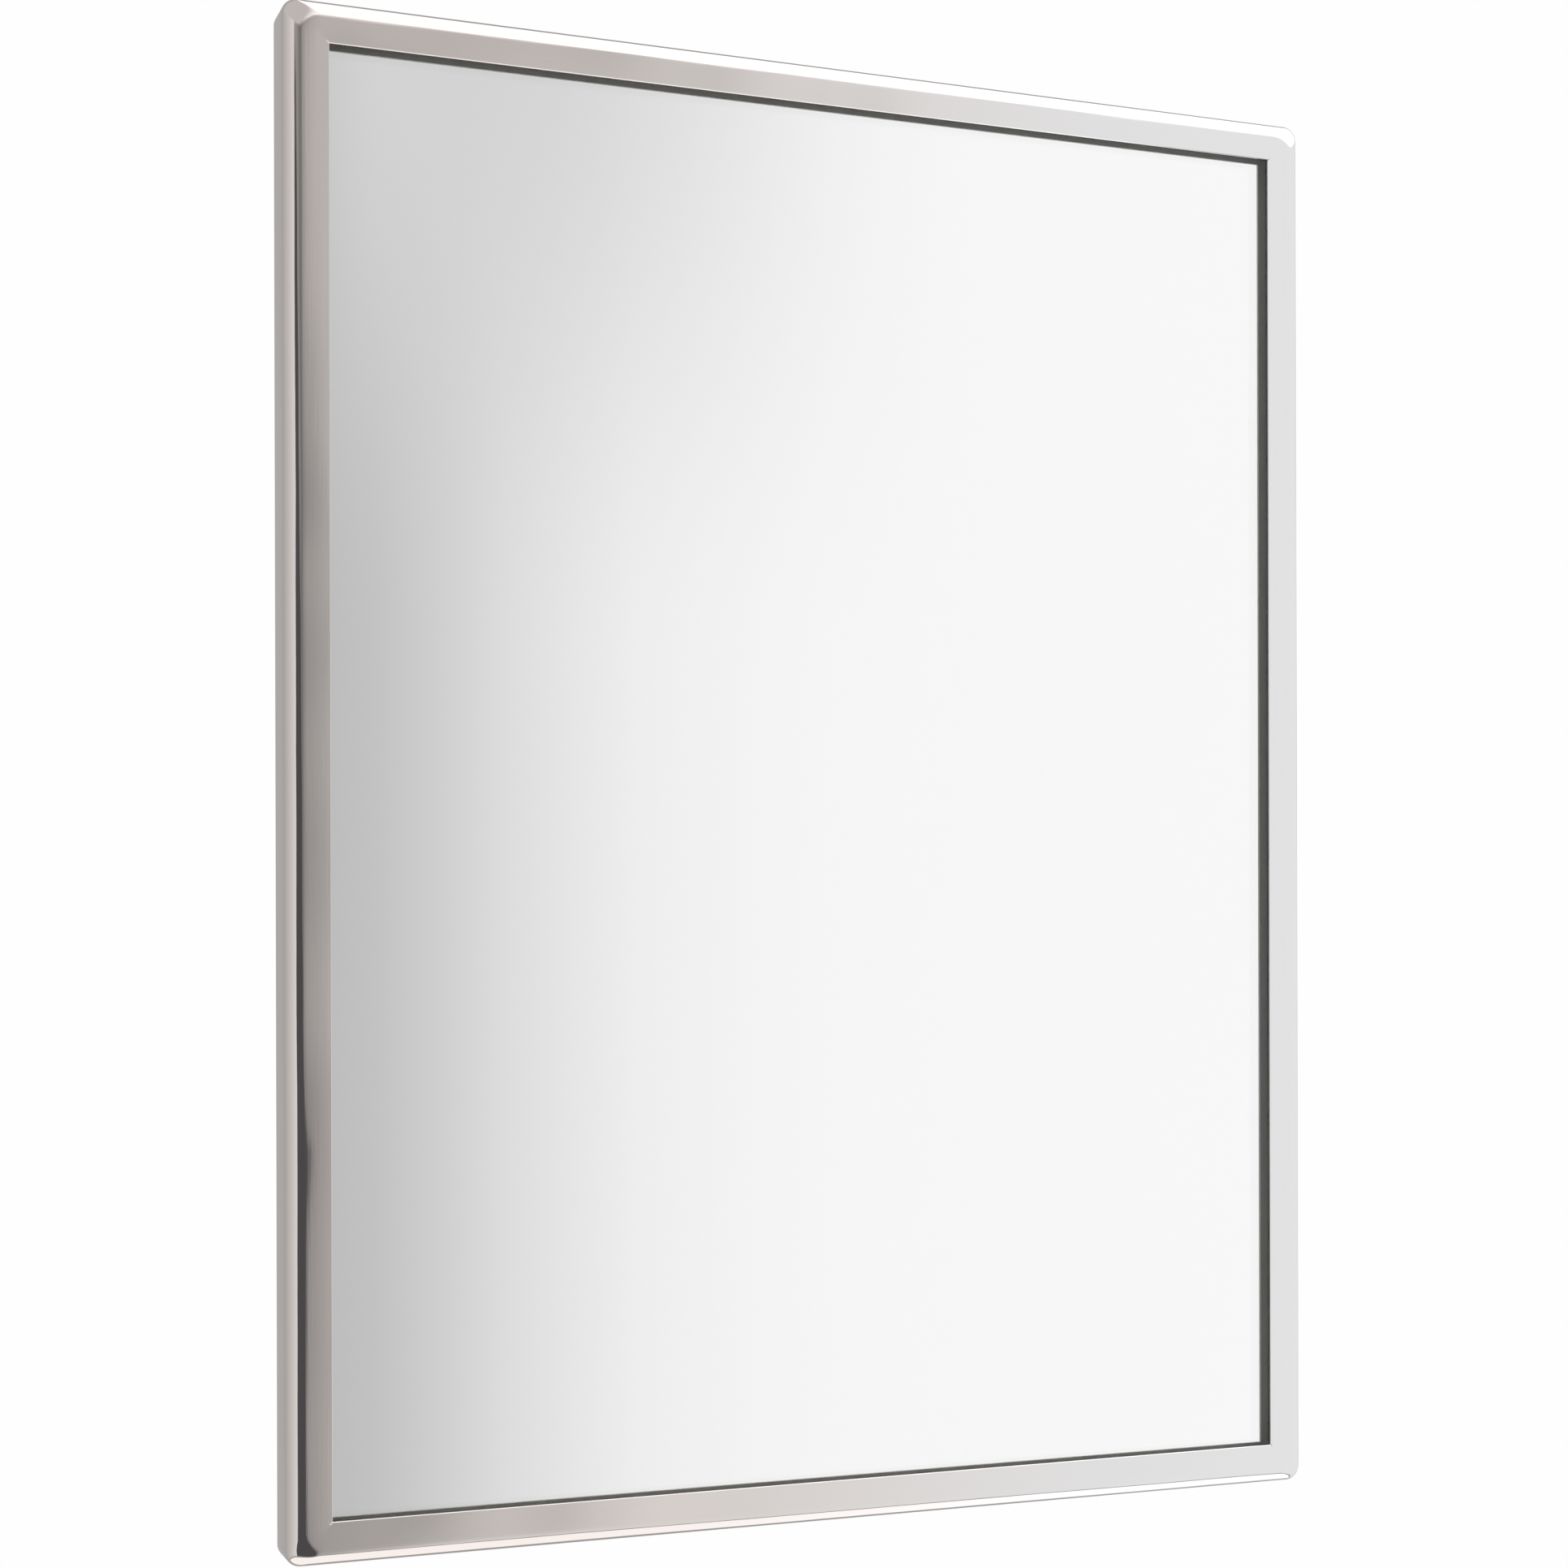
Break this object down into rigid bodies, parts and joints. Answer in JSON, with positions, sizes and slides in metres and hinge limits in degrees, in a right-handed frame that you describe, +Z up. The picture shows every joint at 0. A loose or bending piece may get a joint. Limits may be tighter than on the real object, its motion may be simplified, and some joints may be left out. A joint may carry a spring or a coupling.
{
  "type": "framed wall mirror",
  "caption": "Flat rectangular glass mirror in a polished stainless angle frame, hooked on a concealed wall hanger and held by locking screws from below.",
  "frame": {"origin": "middle of the upper hanger rail's back face, on the wall", "axes": "+Z up, +Y into the wall, so the glass faces -Y; +X to the viewer's right"},
  "size_m": [0.4572, 0.0235, 0.6134],
  "materials": {
    "polished_steel": "bright polished stainless sheet, bends and welds ground smooth",
    "mirror_glass": "clear float glass with arrised edges",
    "silver": "silvered, with a grey protective paint on its back",
    "foam": "closed-cell polyethylene foam sheet",
    "vinyl": "extruded grey vinyl",
    "zinc_steel": "galvanized sheet with faint spangle",
    "screw_steel": "zinc-plated fasteners",
    "black_steel": "black oxide",
    "rubber": "matt moulded rubber"
  },
  "bodies": {
    "wall_hanger": {"hanger_upper_rail": "zinc_steel", "hanger_lower_rail": "zinc_steel", "hanger_left_strap": "zinc_steel", "hanger_right_strap": "zinc_steel"},
    "mirror": {"frame_top_rail": "polished_steel", "frame_bottom_rail": "polished_steel", "frame_left_rail": "polished_steel", "frame_right_rail": "polished_steel", "mirror_glass": "mirror_glass", "silver_coating": "silver", "cushion_pad": "foam", "glazing_strip_top": "vinyl", "glazing_strip_bottom": "vinyl", "glazing_strip_left": "vinyl", "glazing_strip_right": "vinyl", "back_tray": "zinc_steel", "upper_hanging_bracket": "zinc_steel", "lower_hanging_bracket": "zinc_steel", "lock_bracket_left": "zinc_steel", "lock_bracket_right": "zinc_steel", "tray_screw_top_1": "screw_steel", "tray_screw_top_2": "screw_steel", "tray_screw_top_3": "screw_steel", "tray_screw_bottom_1": "screw_steel", "tray_screw_bottom_2": "screw_steel", "tray_screw_bottom_3": "screw_steel", "rivet_upper_1": "screw_steel", "rivet_upper_2": "screw_steel", "rivet_upper_3": "screw_steel", "rivet_lower_1": "screw_steel", "rivet_lower_2": "screw_steel", "rivet_lower_3": "screw_steel", "lock_nut_left": "screw_steel", "lock_nut_right": "screw_steel", "bumper_upper_left": "rubber", "bumper_upper_right": "rubber", "bumper_lower_left": "rubber", "bumper_lower_right": "rubber"},
    "lock_left": {"lock_screw_left": "black_steel"},
    "lock_right": {"lock_screw_right": "black_steel"}
  },
  "joints": [
    {"name": "mirror_lift", "type": "slide", "parent": "wall_hanger", "child": "mirror", "axis": [0, 0, 1], "range_m": [0, 0.01]},
    {"name": "lock_left_travel", "type": "slide", "parent": "mirror", "child": "lock_left", "axis": [0, 0, 1], "range_m": [0, 0.016]},
    {"name": "lock_right_travel", "type": "slide", "parent": "mirror", "child": "lock_right", "axis": [0, 0, 1], "range_m": [0, 0.016]}
  ]
}
